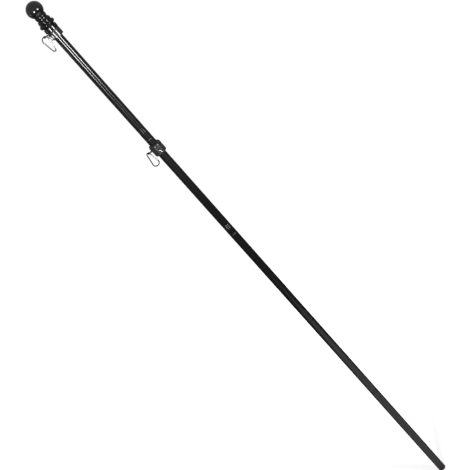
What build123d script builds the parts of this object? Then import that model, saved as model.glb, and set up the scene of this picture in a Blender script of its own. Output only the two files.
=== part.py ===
from build123d import *
import os
from math import asin, cos, hypot, radians, sin, sqrt

# A six foot sectional flagpole that stands along +Z, with the origin at the centre of its foot.
# Tube sections join end to end over inner couplings, and a ball finial caps the top. A swivel ring
# with a spring clip turns under the finial, and a second one rides on a collar that slides along
# the pole and is held by a thumb screw. All sizes are in millimetres.

# Tube sections
tube_diameter = 22.2
tube_wall = 0.9
section_count = 5
section_length = 342.0
end_roll_length = 2.4
end_roll_drop = 0.4

# Foot plug, pushed into the lowest section
foot_rim_height = 5.0
foot_rim_round = 2.0
foot_spigot_length = 20.0
foot_spigot_wall = 1.6
insert_clearance = 0.05

# Couplings inside the seams, and the rolled crimp that fixes each one in the section above
coupling_depth = 45.0
coupling_wall = 2.4
crimp_count = 4
crimp_pitch = 3.8
crimp_width = 3.4
crimp_depth = 0.35
crimp_rise = 20.0

# Finial, turned base and ball
finial_rise = 8.0
socket_depth = 20.0
socket_clearance = 0.1
base_radius = 17.3
base_height = 10.4
base_round = 1.0
cove_radius = 14.9
cove_height = 3.4
flange_radius = 20.4
flange_root_radius = 17.0
flange_height = 9.8
step_radius = 15.9
step_height = 0.7
bell_foot_radius = 16.3
bell_radius = 16.9
bell_top_radius = 14.2
bell_height = 9.9
bell_crest_share = 0.43
groove_radius = 13.9
groove_height = 2.2
bead_radius = 15.0
bead_top_radius = 14.4
bead_height = 9.0
ball_radius = 21.0
ball_seat_radius = 14.2
ball_spigot_radius = 6.0
ball_spigot_length = 9.0

# Swivel rings, sheet washers with an eye for the clip
ring_thickness = 2.0
ring_radius = 16.3
ring_play = 0.4
ring_bore_clearance = 0.08
ear_reach = 28.8
ear_rim = 2.0
ear_hole_clearance = 2.8
ring_edge = 0.25

# Lock collars, the hub that carries each ring, and the stop collar above the lower ring
collar_radius = 16.8
collar_height = 16.5
collar_round = 0.8
collar_edge = 0.5
collar_clearance = 0.25
hub_wall = 2.0
stop_radius = 17.1
stop_height = 12.0
stop_lip = 6.0
stop_shoulder_height = 8.0
stop_rim = 0.8
stop_clearance = 0.05
ring_spacing = 379.0

# Thumb screws
screw_diameter = 5.0
screw_clearance = 0.1
screw_tip_gap = 0.3
seat_inset = 1.8
seat_clearance = 0.3
head_diameter = 12.0
head_thickness = 1.3
head_edge = 0.4
grip_radius = 1.2
grip_length = 10.4
grip_round = 0.5
grip_tilt = 28.0

# Spring clips, pear shaped and bent from round wire
wire_diameter = 3.0
narrow_end_radius = 4.0
wide_end_radius = 8.5
clip_length = 41.4
hang_clearance = 0.5
wide_hook_offset = 0.5
gate_diameter = 3.4
gate_end_gap = 0.4
pivot_setback = 5.1
pivot_lead = 2.0
tang_thickness = 1.3
tang_clearance = 0.1
tang_radius = 1.35
rivet_diameter = 1.5
rivet_clearance = 0.05
rivet_head_radius = 1.2
rivet_head_height = 0.5
rivet_head_round = 0.4
nose_lead = 1.5
nose_tang_length = 3.4
nose_tang_height = 2.0
catch_diameter = 0.9
catch_clearance = 0.2
catch_setback = 1.3
catch_drop = 0.35

# Turns about the pole, in degrees from +X
top_ear_azimuth = 194.0
lower_ear_azimuth = 180.0
top_screw_azimuth = 222.0
lower_screw_azimuth = 272.0

# Sizes that follow from the ones above
tube_radius = tube_diameter / 2
tube_bore_radius = tube_radius - tube_wall
tube_end_radius = tube_radius - end_roll_drop
insert_radius = tube_bore_radius - insert_clearance
pole_top = foot_rim_height + section_count * section_length
finial_seat = pole_top + finial_rise
top_section_length = section_length + finial_rise + socket_depth

collar_bore_radius = tube_radius + collar_clearance
hub_radius = collar_bore_radius + hub_wall
ring_bore_radius = hub_radius + ring_bore_clearance
ring_gap = ring_thickness + 2 * ring_play
top_collar_top = finial_seat - ring_gap
lower_collar_top = top_collar_top - ring_spacing
stop_grip = stop_height - stop_lip

screw_radius = screw_diameter / 2
head_radius = head_diameter / 2
seat_reach = collar_radius - seat_inset

wire_radius = wire_diameter / 2
gate_radius = gate_diameter / 2
rivet_radius = rivet_diameter / 2
catch_radius = catch_diameter / 2
ear_hole_radius = wire_radius + ear_hole_clearance
ear_radius = ear_hole_radius + ear_rim
ear_centre = ear_reach - ear_radius
bar_reach = ear_reach - ear_rim / 2
bar_half_diagonal = hypot(ear_rim / 2, ring_thickness / 2)

clip_centres = clip_length - narrow_end_radius - wide_end_radius
clip_flare = asin((wide_end_radius - narrow_end_radius) / clip_centres)
gate_line = clip_centres * cos(clip_flare)
nose_end = gate_line - nose_lead
gate_end = nose_end - gate_end_gap
gate_slot = tang_thickness + 2 * tang_clearance

os.makedirs("parts", exist_ok=True)


def save(piece, node):
    piece.part.label = node
    export_step(piece.part, f"parts/{node}.step")


def outward(azimuth):
    return Vector(cos(radians(azimuth)), sin(radians(azimuth)), 0)


# Foot plug: a round-edged rim under the tube, and a hollow spigot inside it
with BuildPart() as foot_plug:
    with BuildSketch():
        Circle(tube_radius)
    extrude(amount=foot_rim_height)
    fillet(foot_plug.edges().sort_by(Axis.Z)[0], foot_rim_round)
    with BuildSketch(Plane.XY.offset(foot_rim_height)):
        Circle(insert_radius)
        Circle(insert_radius - foot_spigot_wall, mode=Mode.SUBTRACT)
    extrude(amount=foot_spigot_length)
save(foot_plug, "foot_plug")


# One thin tube, rolled in at both ends; a crimped one has rolled grooves above its lower end
def tube_section(low, length, crimped):
    high = low + length
    roll_low = low + end_roll_length
    roll_high = high - end_roll_length
    with BuildPart() as section:
        with BuildSketch(Plane.XZ):
            with BuildLine():
                Polyline(
                    (tube_end_radius, low),
                    (tube_bore_radius, low),
                    (tube_bore_radius, high),
                    (tube_end_radius, high),
                )
                TangentArc((tube_radius, roll_high), (tube_end_radius, high), tangent=(0, 1))
                Line((tube_radius, roll_high), (tube_radius, roll_low))
                TangentArc((tube_radius, roll_low), (tube_end_radius, low), tangent=(0, -1))
            make_face()
        revolve(axis=Axis.Z)
        if crimped:
            with BuildSketch(Plane.XZ):
                for i in range(crimp_count):
                    middle = low + crimp_rise + crimp_width / 2 + i * crimp_pitch
                    lower_lip = (tube_radius, middle - crimp_width / 2)
                    upper_lip = (tube_radius, middle + crimp_width / 2)
                    with BuildLine():
                        ThreePointArc(lower_lip, (tube_radius - crimp_depth, middle), upper_lip)
                        Line(upper_lip, lower_lip)
                    make_face()
            revolve(axis=Axis.Z, mode=Mode.SUBTRACT)
    return section


# A sleeve inside the seam, fixed in the section above and screwed into the one below
def coupling(seam):
    with BuildPart() as sleeve:
        with BuildSketch(Plane.XY.offset(seam - coupling_depth)):
            Circle(insert_radius)
            Circle(insert_radius - coupling_wall, mode=Mode.SUBTRACT)
        extrude(amount=2 * coupling_depth)
    return sleeve


for i in range(section_count):
    low = foot_rim_height + i * section_length
    is_top = i == section_count - 1
    length = top_section_length if is_top else section_length
    save(tube_section(low, length, crimped=i > 0), f"tube_section_{i + 1}")
    if i > 0:
        save(coupling(low), f"coupling_{i}")


# Finial base: turned mouldings over a socket for the tube, with a hole for the ball's spigot
base_top = finial_seat + base_height
cove_top = base_top + cove_height
flange_top = cove_top + flange_height
step_top = flange_top + step_height
bell_top = step_top + bell_height
groove_top = bell_top + groove_height
bead_top = groove_top + bead_height

with BuildPart() as finial_base:
    with BuildSketch(Plane.XZ):
        with BuildLine():
            Polyline(
                (0, bead_top),
                (0, finial_seat),
                (base_radius, finial_seat),
                (base_radius, base_top),
            )
            ThreePointArc(
                (base_radius, base_top),
                (cove_radius, (base_top + cove_top) / 2),
                (flange_root_radius, cove_top),
            )
            ThreePointArc(
                (flange_root_radius, cove_top),
                (flange_radius, (cove_top + flange_top) / 2),
                (flange_root_radius, flange_top),
            )
            Polyline(
                (flange_root_radius, flange_top),
                (step_radius, flange_top),
                (step_radius, step_top),
                (bell_foot_radius, step_top),
            )
            ThreePointArc(
                (bell_foot_radius, step_top),
                (bell_radius, step_top + bell_crest_share * bell_height),
                (bell_top_radius, bell_top),
            )
            Polyline(
                (bell_top_radius, bell_top),
                (groove_radius, bell_top),
                (groove_radius, groove_top),
            )
            ThreePointArc(
                (groove_radius, groove_top),
                (bead_radius, (groove_top + bead_top) / 2),
                (bead_top_radius, bead_top),
            )
            Line((bead_top_radius, bead_top), (0, bead_top))
        make_face()
    revolve(axis=Axis.Z)
    fillet(finial_base.edges().sort_by(Axis.Z)[0], base_round)
    with BuildSketch(Plane.XY.offset(finial_seat)):
        Circle(tube_radius + socket_clearance)
    extrude(amount=socket_depth, mode=Mode.SUBTRACT)
    with BuildSketch(Plane.XY.offset(bead_top)):
        Circle(ball_spigot_radius + insert_clearance)
    extrude(amount=-ball_spigot_length, mode=Mode.SUBTRACT)
save(finial_base, "finial_base")

# Ball: flat where it sits on the bead, with a spigot below
ball_centre = bead_top + sqrt(ball_radius**2 - ball_seat_radius**2)
with BuildPart() as finial_ball:
    with BuildSketch(Plane.XZ):
        with BuildLine():
            Polyline(
                (0, ball_centre + ball_radius),
                (0, bead_top - ball_spigot_length),
                (ball_spigot_radius, bead_top - ball_spigot_length),
                (ball_spigot_radius, bead_top),
                (ball_seat_radius, bead_top),
            )
            ThreePointArc(
                (ball_seat_radius, bead_top),
                (ball_radius, ball_centre),
                (0, ball_centre + ball_radius),
            )
        make_face()
    revolve(axis=Axis.Z)
save(finial_ball, "finial_ball")


# Lock collar: clamps on the tube with its thumb screw, which sits on a flat cut into it, and its
# hub carries the swivel ring
def screw_plane(collar_top, azimuth):
    level = collar_top - collar_height / 2
    return Plane(origin=(0, 0, level), x_dir=(0, 0, 1), z_dir=outward(azimuth))


def lock_collar(collar_top, hub_rise, azimuth):
    bolt = screw_plane(collar_top, azimuth)
    with BuildPart() as collar:
        with BuildSketch(Plane.XY.offset(collar_top - collar_height)):
            Circle(collar_radius)
        extrude(amount=collar_height)
        fillet(collar.edges().sort_by(Axis.Z)[0], collar_round)
        chamfer(collar.edges().sort_by(Axis.Z)[-1], collar_edge)
        with BuildSketch(bolt.offset(seat_reach)):
            Circle(head_radius + seat_clearance)
        extrude(amount=2 * seat_inset, mode=Mode.SUBTRACT)
        with BuildSketch(Plane.XY.offset(collar_top)):
            Circle(hub_radius)
        extrude(amount=hub_rise)
        with BuildSketch(Plane.XY.offset(collar_top - collar_height)):
            Circle(collar_bore_radius)
        extrude(amount=collar_height + hub_rise, mode=Mode.SUBTRACT)
        with BuildSketch(bolt):
            Circle(screw_radius + screw_clearance)
        extrude(amount=seat_reach, mode=Mode.SUBTRACT)
    return collar


# Thumb screw: a plain shank that bears on the tube, and a flat head with a half-round grip across it
def thumb_screw(collar_top, azimuth):
    bolt = screw_plane(collar_top, azimuth)
    face = bolt.offset(seat_reach + head_thickness)
    tip = tube_radius + screw_tip_gap
    along = bolt.x_dir * cos(radians(grip_tilt)) + bolt.y_dir * sin(radians(grip_tilt))
    with BuildPart() as screw:
        with BuildSketch(bolt.offset(seat_reach)):
            Circle(head_radius)
        extrude(amount=head_thickness)
        chamfer(screw.edges().filter_by(GeomType.CIRCLE), head_edge)
        with BuildSketch(Plane(origin=face.origin, x_dir=face.z_dir, z_dir=along)):
            Circle(grip_radius)
            Rectangle(
                grip_radius, 2 * grip_radius, align=(Align.MAX, Align.CENTER), mode=Mode.SUBTRACT
            )
        extrude(amount=grip_length / 2, both=True)
        fillet(screw.edges().filter_by(GeomType.CIRCLE).group_by(SortBy.RADIUS)[0], grip_round)
        with BuildSketch(bolt.offset(tip)):
            Circle(screw_radius)
        extrude(amount=seat_reach - tip)
    return screw


# Swivel ring: a flat washer round the hub, with an eye for the clip
def swivel_ring(collar_top, azimuth):
    sheet = Plane(
        origin=(0, 0, collar_top + ring_play), x_dir=outward(azimuth), z_dir=(0, 0, 1)
    )
    with BuildPart() as ring:
        with BuildSketch(sheet):
            Circle(ring_radius)
            SlotCenterPoint((ear_centre / 2, 0), (ear_centre, 0), 2 * ear_radius)
            with Locations((ear_centre, 0)):
                Circle(ear_hole_radius, mode=Mode.SUBTRACT)
            Circle(ring_bore_radius, mode=Mode.SUBTRACT)
        extrude(amount=ring_thickness)
        flats = ring.faces().filter_by(Axis.Z)
        chamfer(flats.edges(), ring_edge)
    return ring


# Stop collar: sits on the hub above the lower ring and keeps it there, with a long round shoulder
def stop_collar(seat):
    top = seat + stop_height
    shoulder = top - stop_shoulder_height
    rim_radius = collar_bore_radius + stop_rim
    with BuildPart() as stop:
        with BuildSketch(Plane.XZ):
            with BuildLine():
                Polyline(
                    (rim_radius, top),
                    (collar_bore_radius, top),
                    (collar_bore_radius, seat + stop_grip),
                    (hub_radius + stop_clearance, seat + stop_grip),
                    (hub_radius + stop_clearance, seat),
                    (stop_radius - collar_edge, seat),
                    (stop_radius, seat + collar_edge),
                    (stop_radius, shoulder),
                )
                EllipticalCenterArc(
                    (rim_radius, shoulder), stop_radius - rim_radius, stop_shoulder_height
                )
            make_face()
        revolve(axis=Axis.Z)
    return stop


# Clip planes: x runs from the narrow end to the wide one, y points at the pole, and the origin
# is the centre of the narrow bend
def hook_drop(bend_radius, offset):
    room = bend_radius - wire_radius - bar_half_diagonal - hang_clearance
    return sqrt(room**2 - offset**2)


def bar_level(collar_top):
    return collar_top + ring_play + ring_thickness / 2


def hung_by_narrow_end(collar_top, azimuth):
    out = outward(azimuth)
    level = bar_level(collar_top) - hook_drop(narrow_end_radius, 0)
    place = out * bar_reach + Vector(0, 0, level)
    return Plane(origin=place, x_dir=(0, 0, -1), z_dir=Vector(0, 0, 1).cross(out))


def hung_by_wide_end(collar_top, azimuth):
    out = outward(azimuth)
    level = bar_level(collar_top) - hook_drop(wide_end_radius, wide_hook_offset) - clip_centres
    place = out * (bar_reach + wide_hook_offset) + Vector(0, 0, level)
    return Plane(origin=place, x_dir=(0, 0, 1), z_dir=out.cross(Vector(0, 0, 1)))


# The gate plane starts where the narrow bend ends and runs along the gate towards the nose
def gate_plane(clip):
    start = Vector(-sin(clip_flare), cos(clip_flare), 0) * narrow_end_radius
    along = clip.x_dir * cos(clip_flare) + clip.y_dir * sin(clip_flare)
    return Plane(origin=clip.from_local_coords(start), x_dir=along, z_dir=clip.z_dir)


# Body: wire from the gate's pivot round the narrow bend, down the spine and round to the nose
def clip_body(clip):
    gate = gate_plane(clip)
    side = Vector(-sin(clip_flare), cos(clip_flare))
    spine_side = Vector(-sin(clip_flare), -cos(clip_flare))
    wide_centre = Vector(clip_centres, 0)
    narrow_start = clip.from_local_coords(side * narrow_end_radius)
    narrow_crown = clip.from_local_coords(Vector(-narrow_end_radius, 0))
    spine_start = clip.from_local_coords(spine_side * narrow_end_radius)
    spine_end = clip.from_local_coords(wide_centre + spine_side * wide_end_radius)
    wide_crown = clip.from_local_coords(wide_centre + Vector(wide_end_radius, 0))
    nose_start = clip.from_local_coords(wide_centre + side * wide_end_radius)
    with BuildPart() as body:
        with BuildLine() as wire:
            Line(narrow_start + gate.x_dir * pivot_lead, narrow_start)
            ThreePointArc(narrow_start, narrow_crown, spine_start)
            Line(spine_start, spine_end)
            ThreePointArc(spine_end, wide_crown, nose_start)
            Line(nose_start, nose_start - gate.x_dir * nose_lead)
        with BuildSketch(Plane(origin=wire.line @ 0, z_dir=wire.line % 0)):
            Circle(wire_radius)
        sweep(path=wire.line)
        # Flat tang for the gate's rivet
        with BuildSketch(gate):
            SlotCenterPoint((pivot_setback / 2, 0), (pivot_setback, 0), 2 * tang_radius)
            with Locations((pivot_setback, 0)):
                Circle(rivet_radius + rivet_clearance, mode=Mode.SUBTRACT)
        extrude(amount=tang_thickness / 2, both=True)
        # Nose tang that lies in the gate's slot, notched from inside for the catch
        with BuildSketch(gate):
            with Locations((nose_end - nose_tang_length, 0)):
                Rectangle(
                    nose_tang_length + wire_radius, nose_tang_height, align=(Align.MIN, Align.CENTER)
                )
            with Locations((gate_end - catch_setback, -catch_drop)):
                Circle(catch_radius + catch_clearance, mode=Mode.SUBTRACT)
                Rectangle(
                    catch_diameter + 2 * catch_clearance,
                    nose_tang_height,
                    align=(Align.CENTER, Align.MAX),
                    mode=Mode.SUBTRACT,
                )
        extrude(amount=tang_thickness / 2, both=True)
    return body


# Gate: a round bar, forked over the tang at its pivot and slotted for the nose at its tip
def clip_gate(clip):
    gate = gate_plane(clip)
    rod = Plane(
        origin=gate.from_local_coords(Vector(pivot_setback - gate_radius, 0, 0)), z_dir=gate.x_dir
    )
    fork_end = pivot_setback + tang_radius + gate_end_gap
    slot_start = nose_end - nose_tang_length - gate_end_gap
    with BuildPart() as bar:
        with BuildSketch(rod):
            Circle(gate_radius)
        extrude(amount=gate_end - pivot_setback + gate_radius)
        with BuildSketch(gate):
            with Locations((pivot_setback, 0)):
                Circle(gate_radius)
                Rectangle(
                    gate_end - pivot_setback, gate_diameter, align=(Align.MIN, Align.CENTER)
                )
        extrude(amount=gate_radius, both=True, mode=Mode.INTERSECT)
        with BuildSketch(gate):
            with Locations((pivot_setback - gate_radius, 0)):
                Rectangle(
                    fork_end - pivot_setback + gate_radius,
                    gate_diameter,
                    align=(Align.MIN, Align.CENTER),
                )
            with Locations((slot_start, 0)):
                Rectangle(gate_end - slot_start, gate_diameter, align=(Align.MIN, Align.CENTER))
        extrude(amount=gate_slot / 2, both=True, mode=Mode.SUBTRACT)
        with BuildSketch(gate):
            with Locations((pivot_setback, 0)):
                Circle(rivet_radius + rivet_clearance)
        extrude(amount=gate_radius, both=True, mode=Mode.SUBTRACT)
        with BuildSketch(gate):
            with Locations((gate_end - catch_setback, -catch_drop)):
                Circle(catch_radius)
        extrude(amount=(gate_slot + tang_thickness) / 2, both=True)
    return bar


# Rivet: a pin through fork and tang with a domed head on each side
def clip_rivet(clip):
    gate = gate_plane(clip)
    head_seat = gate_radius + rivet_clearance
    with BuildPart() as rivet:
        with BuildSketch(gate):
            with Locations((pivot_setback, 0)):
                Circle(rivet_radius)
        extrude(amount=head_seat, both=True)
        for side in (gate.offset(head_seat), gate.offset(-head_seat - rivet_head_height)):
            with BuildSketch(side):
                with Locations((pivot_setback, 0)):
                    Circle(rivet_head_radius)
            extrude(amount=rivet_head_height)
        rims = rivet.edges().filter_by(GeomType.CIRCLE).sort_by(Axis(gate.origin, gate.z_dir))
        fillet([rims[0], rims[-1]], rivet_head_round)
    return rivet


def save_clip(name, clip):
    save(clip_body(clip), f"{name}_clip_body")
    save(clip_gate(clip), f"{name}_clip_gate")
    save(clip_rivet(clip), f"{name}_clip_rivet")


# Top fittings, under the finial
save(lock_collar(top_collar_top, ring_gap, top_screw_azimuth), "top_lock_collar")
save(thumb_screw(top_collar_top, top_screw_azimuth), "top_thumb_screw")
save(swivel_ring(top_collar_top, top_ear_azimuth), "top_swivel_ring")
save_clip("top", hung_by_wide_end(top_collar_top, top_ear_azimuth))

# Lower fittings, on the sliding collar
save(lock_collar(lower_collar_top, ring_gap + stop_grip, lower_screw_azimuth), "lower_lock_collar")
save(thumb_screw(lower_collar_top, lower_screw_azimuth), "lower_thumb_screw")
save(stop_collar(lower_collar_top + ring_gap), "lower_stop_collar")
save(swivel_ring(lower_collar_top, lower_ear_azimuth), "lower_swivel_ring")
save_clip("lower", hung_by_narrow_end(lower_collar_top, lower_ear_azimuth))
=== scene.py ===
import math

import bmesh
import bpy
from mathutils import Matrix, Vector

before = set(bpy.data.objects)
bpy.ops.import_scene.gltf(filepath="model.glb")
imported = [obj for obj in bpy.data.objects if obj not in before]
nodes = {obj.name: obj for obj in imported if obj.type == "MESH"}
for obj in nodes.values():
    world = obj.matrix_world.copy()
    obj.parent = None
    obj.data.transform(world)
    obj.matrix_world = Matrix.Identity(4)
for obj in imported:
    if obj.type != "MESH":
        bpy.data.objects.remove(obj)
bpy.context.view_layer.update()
print("frame loaded,", len(nodes), "nodes")

mm = 0.001  # one millimetre in scene units
stations = ("top", "lower")  # the two places on the pole that carry a screw, a ring and a clip
noiseLow, noiseHigh = 0.3, 0.7  # most values of a noise texture lie between these
mixFactor, mixFirst, mixSecond, mixResult = 0, 6, 7, 2  # sockets of a Mix node that mixes colours


def hexToLinear(code):  # "#rrggbb" in sRGB to linear RGBA
    values = [int(code[i:i + 2], 16) / 255 for i in (1, 3, 5)]
    return [v / 12.92 if v <= 0.04045 else ((v + 0.055) / 1.055) ** 2.4 for v in values] + [1.0]


white = hexToLinear("#ffffff")


def addNode(tree, kind, inputs, **settings):  # inputs: socket name or number to a value or an output socket
    node = tree.nodes.new(kind)
    for name, value in settings.items():
        setattr(node, name, value)
    for name, value in inputs.items():
        if isinstance(value, bpy.types.NodeSocket):
            tree.links.new(value, node.inputs[name])
        else:
            node.inputs[name].default_value = value
    return node


def newMaterial(name):  # an empty node tree, and the object coordinates that its patterns follow
    material = bpy.data.materials.new(name)
    material.use_nodes = True
    tree = material.node_tree
    tree.nodes.clear()
    place = addNode(tree, "ShaderNodeTexCoord", {}).outputs["Object"]
    return material, tree, place


def dress(material, *names):  # a CAD node keeps its shape and takes this finish
    for name in names:
        for slot in nodes[name].material_slots:
            slot.material = material


def perMetre(sizeMm):  # texture scale for a feature of that size
    return 1 / (sizeMm * mm)


patchDetail, hazeDetail, peelDetail = 3.0, 4.0, 2.0  # how finely each pattern breaks up


# A black paint or plastic: clouded tone, uneven gloss and a skin of fine bumps
def makeBlackFinish(name, look):
    material, tree, place = newMaterial(name)
    patches = addNode(tree, "ShaderNodeTexNoise", {
        "Vector": place, "Scale": perMetre(look["patchMm"]), "Detail": patchDetail,
    })
    tone = addNode(tree, "ShaderNodeMix", {
        mixFactor: patches.outputs["Fac"],
        mixFirst: hexToLinear(look["colour"]), mixSecond: hexToLinear(look["patchColour"]),
    }, data_type="RGBA")
    haze = addNode(tree, "ShaderNodeTexNoise", {
        "Vector": place, "Scale": perMetre(look["hazeMm"]), "Detail": hazeDetail,
    })
    gloss = addNode(tree, "ShaderNodeMapRange", {
        "Value": haze.outputs["Fac"], "From Min": noiseLow, "From Max": noiseHigh,
        "To Min": look["roughness"][0], "To Max": look["roughness"][1],
    })
    peel = addNode(tree, "ShaderNodeTexNoise", {
        "Vector": place, "Scale": perMetre(look["peelMm"]), "Detail": peelDetail,
    })
    skin = addNode(tree, "ShaderNodeBump", {
        "Height": peel.outputs["Fac"], "Distance": look["peelDepthMm"] * mm,
    })
    shader = addNode(tree, "ShaderNodeBsdfPrincipled", {
        "Base Color": tone.outputs[mixResult], "Roughness": gloss.outputs["Result"],
        "Normal": skin.outputs["Normal"], "IOR": look["ior"],
        "Coat Weight": look["coat"], "Coat Roughness": look["coatRoughness"],
    })
    addNode(tree, "ShaderNodeOutputMaterial", {"Surface": shader.outputs["BSDF"]})
    return material


uncoated = {"coat": 0.0, "coatRoughness": 0.1}  # no clear layer on top

# Powder coat on drawn steel tube: deep black gloss, with an orange peel that frays the lamp streaks a little
tubePaint = {
    **uncoated, "ior": 1.5,
    "colour": "#111111", "patchColour": "#161616", "patchMm": 45.0,
    "roughness": (0.15, 0.18), "hazeMm": 18.0,
    "peelMm": 2.4, "peelDepthMm": 0.004,
}
tubes = [name for name in nodes if name.startswith("tube_section")]
dress(makeBlackFinish("blackPowderCoat", tubePaint), *tubes)
print("tube sections painted")

# Moulded ABS, as it leaves a smooth mould: near black, a soft gloss with faint flow clouds
finialPlastic = {
    **uncoated, "ior": 1.54,
    "colour": "#0b0b0b", "patchColour": "#101010", "patchMm": 14.0,
    "roughness": (0.17, 0.21), "hazeMm": 9.0,
    "peelMm": 1.4, "peelDepthMm": 0.004,  # polish marks of the mould, drawn coarse to show
}
dress(makeBlackFinish("glossMouldedAbs", finialPlastic), "finial_base")

# The same ABS under clear lacquer: a second shine lies on the first, so the ball's lamp spots are stronger
ballLacquer = {**finialPlastic, "roughness": (0.1, 0.14), "coat": 1.0, "coatRoughness": 0.2}
dress(makeBlackFinish("lacqueredMouldedAbs", ballLacquer), "finial_ball")

# Moulded nylon with glass fibre: satin and a little grainy, under the shine of a smooth outer skin
collarNylon = {
    "coat": 1.0, "coatRoughness": 0.17, "ior": 1.53,
    "colour": "#161616", "patchColour": "#1d1d1d", "patchMm": 9.0,
    "roughness": (0.32, 0.4), "hazeMm": 5.0,
    "peelMm": 0.7, "peelDepthMm": 0.005,  # grain of the fibres, drawn coarse to show
}
dress(makeBlackFinish("satinMouldedNylon", collarNylon), "top_lock_collar", "lower_lock_collar")

# The same nylon out of a duller mould: its outer skin has less of that shine, spread wider
stopNylon = {**collarNylon, "roughness": (0.29, 0.36), "coat": 0.4, "coatRoughness": 0.34}
dress(makeBlackFinish("dullMouldedNylon", stopNylon), "lower_stop_collar")

# Moulded soft polyethylene: waxy, dull black
plugPlastic = {
    **uncoated, "ior": 1.51,
    "colour": "#161616", "patchColour": "#1d1d1d", "patchMm": 8.0,
    "roughness": (0.42, 0.52), "hazeMm": 4.0,
    "peelMm": 0.8, "peelDepthMm": 0.01,  # matt grain of the mould, drawn coarse to show
}
dress(makeBlackFinish("dullPolyethylene", plugPlastic), "foot_plug")
print("plastics finished")

lineDetail, cloudDetail = 3.0, 2.0  # how finely each pattern breaks up


# A bare or plated metal: clouded tone, and fine tool lines in its gloss and its skin
def makeMetalFinish(name, look):
    material, tree, place = newMaterial(name)
    stretched = addNode(tree, "ShaderNodeMapping", {"Vector": place, "Scale": look["stretch"]})
    lines = addNode(tree, "ShaderNodeTexNoise", {
        "Vector": stretched.outputs["Vector"], "Scale": perMetre(look["lineMm"]), "Detail": lineDetail,
    })
    clouds = addNode(tree, "ShaderNodeTexNoise", {
        "Vector": place, "Scale": perMetre(look["cloudMm"]), "Detail": cloudDetail,
    })
    tone = addNode(tree, "ShaderNodeMix", {
        mixFactor: clouds.outputs["Fac"],
        mixFirst: hexToLinear(look["colour"]), mixSecond: hexToLinear(look["cloudColour"]),
    }, data_type="RGBA")
    gloss = addNode(tree, "ShaderNodeMapRange", {
        "Value": lines.outputs["Fac"], "From Min": noiseLow, "From Max": noiseHigh,
        "To Min": look["roughness"][0], "To Max": look["roughness"][1],
    })
    skin = addNode(tree, "ShaderNodeBump", {
        "Height": lines.outputs["Fac"], "Distance": look["lineDepthMm"] * mm,
    })
    shader = addNode(tree, "ShaderNodeBsdfPrincipled", {
        "Base Color": tone.outputs[mixResult], "Metallic": 1.0, "Roughness": gloss.outputs["Result"],
        "Normal": skin.outputs["Normal"],
    })
    addNode(tree, "ShaderNodeOutputMaterial", {"Surface": shader.outputs["BSDF"]})
    return material


# Lines run along the pole. A die or a lathe leaves finer ones, and these are drawn coarse so that they show
toolLines = {"lineMm": 0.5, "lineDepthMm": 0.001, "stretch": (1.0, 1.0, 0.15), "cloudMm": 7.0}

# Drawn spring wire under dark nickel: a deep grey that mirrors softly
clipWire = {**toolLines, "colour": "#504f4e", "cloudColour": "#5c5b5a", "roughness": (0.22, 0.27)}
wirePieces = [f"{station}_clip_{piece}" for station in stations for piece in ("body", "rivet")]
dress(makeMetalFinish("nickelledWire", clipWire), *wirePieces)

# Drawn bar under bright nickel: the palest metal here, with a satin shine
clipGate = {**toolLines, "colour": "#d0cfcd", "cloudColour": "#dcdbd9", "roughness": (0.34, 0.42)}
dress(makeMetalFinish("nickelledBar", clipGate), *[f"{station}_clip_gate" for station in stations])

# Machined screw under bright nickel: smooth, so its grip shows a lamp as one bright stroke
screwNickel = {**toolLines, "colour": "#aaa9a7", "cloudColour": "#b8b7b5", "roughness": (0.16, 0.22)}
dress(makeMetalFinish("nickelledScrew", screwNickel), *[f"{station}_thumb_screw" for station in stations])

# Stamped steel sheet, tumbled: dull all over, with fine pits in place of lines
ringSteel = {
    **toolLines, "stretch": (1.0, 1.0, 1.0),
    "colour": "#6c6b69", "cloudColour": "#7a7977", "roughness": (0.5, 0.6),
}
dress(makeMetalFinish("stampedSheet", ringSteel), *[f"{station}_swivel_ring" for station in stations])

# Turned aluminium: a cool pale grey with a satin shine, out of sight inside the tubes
couplingAluminium = {**toolLines, "colour": "#a7abb0", "cloudColour": "#b9bdc2", "roughness": (0.34, 0.46)}
couplings = [name for name in nodes if name.startswith("coupling")]
dress(makeMetalFinish("turnedAluminium", couplingAluminium), *couplings)
print("metals finished")

# Floor: white paper. The camera sees it white, a little less so by the foot, where the shadow shows,
# and gloss sees a painted pool of light in front of the pole, a glow seen only in reflections that is no
# lamp. Each level goes from one value to another over some metres
floorSheet = {
    "half": 60.0, "albedo": "#f4f4f4", "poolCentre": (0.0, -0.6, 0.0),
    "paper": {"over": (0.0, 1.2), "levels": (0.5, 0.76)},  # glow for the camera, by distance from the foot
    "pool": {"over": (0.5, 1.25), "levels": (0.755, 0.0)},  # painted pool of light for gloss, by distance from that centre
    "front": {"over": (-0.06, 0.04), "levels": (1.0, 0.0)},  # how much of that pool is left, by depth
    "far": {"over": (1.8, 5.0), "levels": (0.045, 0.2)},  # painted glow for gloss added to it, by distance from that centre
}


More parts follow.
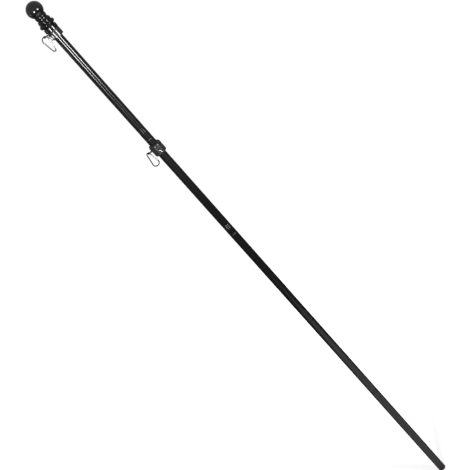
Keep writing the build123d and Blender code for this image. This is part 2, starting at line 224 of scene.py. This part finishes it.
def makeFloor(look):
    mesh = bpy.data.meshes.new("floorSheet")
    shape = bmesh.new()
    bmesh.ops.create_grid(shape, x_segments=1, y_segments=1, size=look["half"])
    shape.to_mesh(mesh)
    shape.free()
    floor = bpy.data.objects.new("floorSheet", mesh)
    bpy.context.scene.collection.objects.link(floor)

    material, tree, place = newMaterial("whitePaper")
    path = addNode(tree, "ShaderNodeLightPath", {}).outputs
    fromFoot = addNode(tree, "ShaderNodeVectorMath", {0: place}, operation="LENGTH").outputs["Value"]
    fromPool = addNode(tree, "ShaderNodeVectorMath", {
        0: place, 1: look["poolCentre"],
    }, operation="DISTANCE").outputs["Value"]
    depth = addNode(tree, "ShaderNodeSeparateXYZ", {"Vector": place}).outputs["Y"]
    measures = {"paper": fromFoot, "pool": fromPool, "front": depth, "far": fromPool}
    level = {}
    for name, measure in measures.items():
        start, end = look[name]["over"]
        first, last = look[name]["levels"]
        level[name] = addNode(tree, "ShaderNodeMapRange", {
            "Value": measure, "From Min": start, "From Max": end, "To Min": first, "To Max": last,
        }, interpolation_type="SMOOTHSTEP").outputs["Result"]

    seenClear = addNode(tree, "ShaderNodeMath", {
        0: path["Is Camera Ray"], 1: path["Is Transmission Ray"],
    }, operation="MAXIMUM")
    cameraLevel = addNode(tree, "ShaderNodeMath", {
        0: seenClear.outputs[0], 1: level["paper"],
    }, operation="MULTIPLY")
    glossLevel = addNode(tree, "ShaderNodeMath", {
        0: level["pool"], 1: level["front"], 2: level["far"],
    }, operation="MULTIPLY_ADD")
    paper = addNode(tree, "ShaderNodeBsdfDiffuse", {"Color": hexToLinear(look["albedo"])})
    paperGlow = addNode(tree, "ShaderNodeEmission", {"Color": white, "Strength": cameraLevel.outputs[0]})
    litPaper = addNode(tree, "ShaderNodeAddShader", {0: paper.outputs[0], 1: paperGlow.outputs[0]})
    # painted pool of light: the floor glows only for glossy rays, in place of lamp-lit paper in the
    # reflections
    paintedPoolGlow = addNode(tree, "ShaderNodeEmission", {"Color": white, "Strength": glossLevel.outputs[0]})
    surface = addNode(tree, "ShaderNodeMixShader", {
        0: path["Is Glossy Ray"], 1: litPaper.outputs[0], 2: paintedPoolGlow.outputs[0],
    })
    addNode(tree, "ShaderNodeOutputMaterial", {"Surface": surface.outputs[0]})
    material.cycles.emission_sampling = "NONE"  # its glow is only seen, and lights nothing
    mesh.materials.append(material)


makeFloor(floorSheet)

# Room: white behind the pole for the camera, and the same soft grey for light and for gloss
room = {"light": 0.3, "gloss": 0.3}


def makeRoom(look):
    world = bpy.data.worlds.new("studioRoom")
    bpy.context.scene.world = world
    world.use_nodes = True
    tree = world.node_tree
    tree.nodes.clear()
    path = addNode(tree, "ShaderNodeLightPath", {}).outputs
    seenClear = addNode(tree, "ShaderNodeMath", {
        0: path["Is Camera Ray"], 1: path["Is Transmission Ray"],
    }, operation="MAXIMUM")
    grey = addNode(tree, "ShaderNodeMapRange", {
        "Value": path["Is Glossy Ray"], "To Min": look["light"], "To Max": look["gloss"],
    })
    level = addNode(tree, "ShaderNodeMath", {
        0: seenClear.outputs[0], 1: grey.outputs["Result"],
    }, operation="MAXIMUM")
    sky = addNode(tree, "ShaderNodeBackground", {"Color": white, "Strength": level.outputs[0]})
    addNode(tree, "ShaderNodeOutputWorld", {"Surface": sky.outputs[0]})
    world.cycles.sampling_method = "NONE"  # its level depends on the ray, so it isn't sampled as a lamp is


makeRoom(room)

# A soft box each side of the camera gives the twin streaks on the pole, and the dim skirt below it carries
# its streak on down. A box behind gives form from there, and a small card at the left lights the top screw
softBox = {"distance": 2.4, "height": 1.33, "width": 0.3, "tall": 0.36, "watts": 25.0}
skirt = {"distance": 2.5, "height": 0.85, "width": 0.5, "tall": 0.8, "watts": 1.2}
rightSide, leftSide = 35.0, -22.0  # degrees round from the front
lamps = {
    "rightSoftBox": {**softBox, "azimuth": rightSide},
    "leftSoftBox": {**softBox, "azimuth": leftSide},
    "rightSkirt": {**skirt, "azimuth": rightSide},
    "leftSkirt": {**skirt, "azimuth": leftSide},
    "backSoftBox": {**softBox, "azimuth": 180.0, "watts": 10.0},
    "sideCard": {**softBox, "azimuth": -96.0, "height": 1.38, "width": 0.22, "tall": 0.22, "watts": 0.9},
}
upright = math.radians(90)  # a lamp faces down until it is turned by this
for name, lamp in lamps.items():
    lightData = bpy.data.lights.new(name, "AREA")
    lightData.shape = "RECTANGLE"
    lightData.size = lamp["width"]
    lightData.size_y = lamp["tall"]
    lightData.energy = lamp["watts"]
    light = bpy.data.objects.new(name, lightData)
    angle = math.radians(lamp["azimuth"])
    distance = lamp["distance"]
    light.location = (distance * math.sin(angle), -distance * math.cos(angle), lamp["height"])
    light.rotation_euler = (upright, 0, angle)
    light.visible_camera = False
    bpy.context.scene.collection.objects.link(light)
print("floor, room and lamps set")

# Camera: looks down at the pole from in front and just above its head, rolled so that the head is upper left
view = {
    "aimHeight": 1.0228, "distance": 2.618,  # metres, to the point of the pole in the middle of the picture
    "elevation": 22.9, "roll": -41.69,  # degrees
    "focalPixels": 998.0, "imagePixels": 470.0, "sensorMm": 36.0,
    "reach": 500.0,  # past the far edge of the floor
}
cameraData = bpy.data.cameras.new("photoCamera")
cameraData.sensor_width = view["sensorMm"]
cameraData.lens = view["focalPixels"] / view["imagePixels"] * view["sensorMm"]
cameraData.clip_end = view["reach"]
camera = bpy.data.objects.new("photoCamera", cameraData)
bpy.context.scene.collection.objects.link(camera)
camera.matrix_world = (
    Matrix.Translation(Vector((0, 0, view["aimHeight"])))
    @ Matrix.Rotation(upright - math.radians(view["elevation"]), 4, "X")
    @ Matrix.Rotation(math.radians(view["roll"]), 4, "Z")
    @ Matrix.Translation(Vector((0, 0, view["distance"])))
)
bpy.context.scene.camera = camera
bpy.context.scene.view_settings.view_transform = "Standard"
print("camera set")
